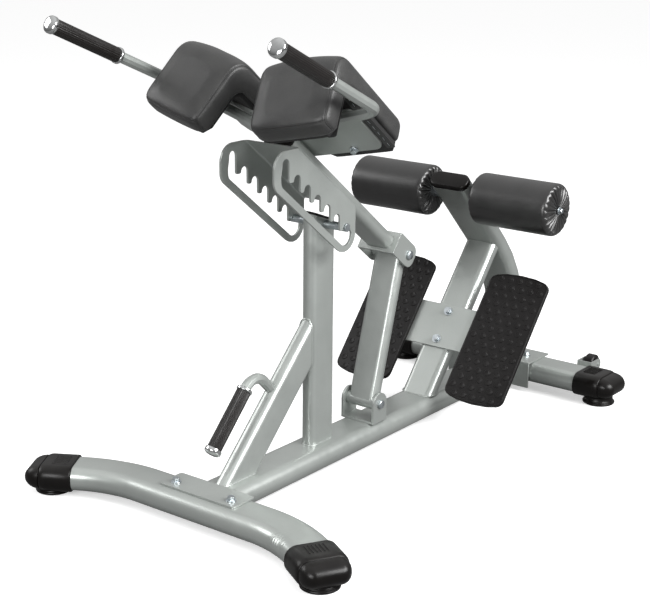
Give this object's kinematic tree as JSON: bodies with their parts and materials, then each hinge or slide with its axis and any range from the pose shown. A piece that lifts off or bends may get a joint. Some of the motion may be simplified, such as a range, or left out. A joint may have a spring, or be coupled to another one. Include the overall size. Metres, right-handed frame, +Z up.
{
  "type": "hyperextension bench",
  "caption": "Hyperextension bench: split hip pads on a notched, height-adjustable arm, ankle rollers, studded foot plates, side handles and small transport wheels.",
  "frame": {"origin": "on the floor, in the middle of the bench's length and width", "axes": "+Z up; +X from the hip pads towards the rear stabiliser and its wheels; +Y across the bench, away from the side the picture shows"},
  "size_m": [1.3509, 0.8222, 0.9721],
  "materials": {
    "silver_paint": "satin",
    "chrome": "polished",
    "zinc_steel": "zinc plated",
    "black_vinyl": "satin grained",
    "pad_board": "matte",
    "black_rubber": "matte",
    "black_plastic": "satin",
    "grip_rubber": "matte fluted"
  },
  "bodies": {
    "base_frame": {"base_rail": "silver_paint", "bracket_bolt_lower": "zinc_steel", "bracket_bolt_upper": "zinc_steel", "carry_end_cap": "chrome", "carry_grip": "grip_rubber", "carry_ring": "chrome", "carry_tube": "silver_paint", "column": "silver_paint", "column_cap": "black_plastic", "foot_plate_bracket": "silver_paint", "foot_plate_far": "black_rubber", "foot_plate_near": "black_rubber", "front_bolt_far": "zinc_steel", "front_bolt_near": "zinc_steel", "front_foot_cap_far": "black_plastic", "front_foot_cap_near": "black_plastic", "front_plate": "silver_paint", "front_stabiliser": "silver_paint", "front_strut": "silver_paint", "link_clevis": "silver_paint", "link_pivot_bolt": "zinc_steel", "rear_bolt_far": "zinc_steel", "rear_bolt_near": "zinc_steel", "rear_foot_cap_far": "black_plastic", "rear_foot_cap_near": "black_plastic", "rear_post": "silver_paint", "rear_post_cap": "black_plastic", "rear_saddle": "silver_paint", "rear_stabiliser": "silver_paint", "rear_strut": "silver_paint", "roller_axle": "zinc_steel", "support_pin": "zinc_steel", "wheel_bracket_far": "silver_paint", "wheel_bracket_near": "silver_paint"},
    "swing_link": {"swing_link": "silver_paint"},
    "pad_arm": {"arm_clevis": "silver_paint", "arm_end_cap": "black_plastic", "arm_pivot_bolt": "zinc_steel", "arm_tube": "silver_paint", "handle_far_end_cap": "chrome", "handle_far_grip": "grip_rubber", "handle_far_ring": "chrome", "handle_near_end_cap": "chrome", "handle_near_grip": "grip_rubber", "handle_near_ring": "chrome", "handle_tube_far": "silver_paint", "handle_tube_near": "silver_paint", "hip_pad_far": "black_vinyl", "hip_pad_near": "black_vinyl", "ladder": "silver_paint", "pad_board_far": "pad_board", "pad_board_near": "pad_board", "pad_bolt_far": "zinc_steel", "pad_bolt_near": "zinc_steel", "pad_plate_far": "silver_paint", "pad_plate_near": "silver_paint"},
    "near_ankle_roller": {"ankle_roller_near": "black_vinyl"},
    "far_ankle_roller": {"ankle_roller_far": "black_vinyl"},
    "near_transport_wheel": {"transport_wheel_near": "black_rubber"},
    "far_transport_wheel": {"transport_wheel_far": "black_rubber"}
  },
  "joints": [
    {"name": "arm_lift", "type": "hinge", "parent": "swing_link", "child": "pad_arm", "pos_m": [0.0797, 0, 0.4255], "axis": [0, 1, 0], "range_deg": [0, 7.1]},
    {"name": "link_swing", "type": "hinge", "parent": "base_frame", "child": "swing_link", "pos_m": [-0.012, 0, 0.104], "axis": [0, 1, 0], "range_deg": [-1.8, 0]},
    {"name": "near_roller_spin", "type": "hinge", "parent": "base_frame", "child": "near_ankle_roller", "pos_m": [0.342, -0.1655, 0.511], "axis": [0, 1, 0], "continuous": true},
    {"name": "far_roller_spin", "type": "hinge", "parent": "base_frame", "child": "far_ankle_roller", "pos_m": [0.342, 0.1655, 0.511], "axis": [0, 1, 0], "continuous": true},
    {"name": "near_wheel_spin", "type": "hinge", "parent": "base_frame", "child": "near_transport_wheel", "pos_m": [0.651, -0.2148, 0.063], "axis": [0, 1, 0], "continuous": true},
    {"name": "far_wheel_spin", "type": "hinge", "parent": "base_frame", "child": "far_transport_wheel", "pos_m": [0.651, 0.2148, 0.063], "axis": [0, 1, 0], "continuous": true}
  ],
  "couplings": [
    {"joint": "link_swing", "follows": "arm_lift", "ratio": -0.25}
  ]
}
